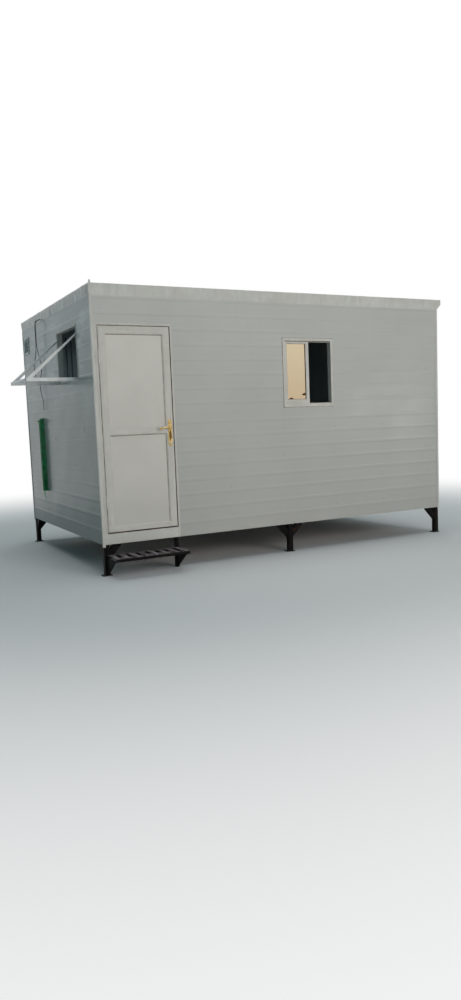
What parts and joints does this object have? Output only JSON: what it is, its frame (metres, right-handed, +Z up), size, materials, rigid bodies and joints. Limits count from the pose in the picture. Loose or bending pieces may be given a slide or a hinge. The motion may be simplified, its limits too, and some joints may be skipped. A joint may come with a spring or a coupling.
{
  "type": "portable site cabin",
  "caption": "Portable site cabin on short braced legs, with a hinged door, a sliding window, a shelf for an air conditioner and a slatted step.",
  "frame": {"origin": "middle of the base of the whole object, on the ground", "axes": "+X along the front towards its right end, +Y from the door side to the back, +Z up"},
  "size_m": [5.04, 3.281, 2.93],
  "materials": {
    "black_steel": "black paint on rolled steel, dusty",
    "step_steel": "worn dark paint on flat steel",
    "floor_board": "board floor",
    "lining": "smooth white inner face of an insulated panel",
    "white_sheet": "glossy white coated steel sheet with pressed beads",
    "white_trim": "white coated bent sheet",
    "roof_steel": "white coated ribbed sheet, dusty",
    "door_aluminium": "white powder-coated aluminium",
    "door_panel": "white coated flat sheet",
    "hinge_metal": "white coated hinge",
    "handle_brass": "gold-coloured brass",
    "window_aluminium": "white powder-coated aluminium",
    "window_glass": "tinted reflecting glass",
    "shelf_steel": "white painted steel angle",
    "vent_metal": "grey-white metal louvre",
    "lead_rubber": "black rubber lead",
    "green_plastic": "dark green plastic"
  },
  "bodies": {
    "cabin": {"long_beams": "black_steel", "end_beams": "black_steel", "floor_joists": "black_steel", "floor_deck": "floor_board", "front_legs": "black_steel", "back_legs": "black_steel", "step_bars": "black_steel", "step_slats": "step_steel", "step_brackets": "black_steel", "front_wall": "lining", "front_wall_over_door": "lining", "left_wall": "lining", "right_wall": "lining", "back_wall": "lining", "front_cladding": "white_sheet", "left_cladding": "white_sheet", "right_cladding": "white_sheet", "back_cladding": "white_sheet", "corner_trims": "white_trim", "roof_panel": "lining", "roof_sheet": "roof_steel", "long_fascias": "white_trim", "end_fascias": "white_trim", "door_frame": "door_aluminium", "door_stops": "door_aluminium", "door_threshold": "white_trim", "hinge_frame_halves": "hinge_metal", "window_frame": "window_aluminium", "window_sash_outer": "window_aluminium", "window_sash_inner": "window_aluminium", "window_glass": "window_glass", "ac_opening_frame": "white_trim", "ac_shelf_rails": "shelf_steel", "ac_shelf_front_bar": "shelf_steel", "ac_shelf_ties": "shelf_steel", "wall_vent": "vent_metal", "lead_long": "lead_rubber", "lead_short": "lead_rubber", "green_trunking": "green_plastic"},
    "door": {"door_leaf": "door_aluminium", "door_panel_lower": "door_panel", "door_panel_upper": "door_panel", "hinge_door_halves": "hinge_metal", "handle_plates": "handle_brass"},
    "lever": {"door_lever": "handle_brass"}
  },
  "joints": [
    {"name": "door_hinge", "type": "hinge", "parent": "cabin", "child": "door", "pos_m": [-1.919, -1.3405, 0.44], "axis": [0, 0, -1], "range_deg": [0, 160]},
    {"name": "lever_turn", "type": "hinge", "parent": "door", "child": "lever", "pos_m": [-1.195, -1.3135, 1.47], "axis": [0, -1, 0], "range_deg": [0, 45], "stiffness_Nm_per_rad": 1}
  ]
}
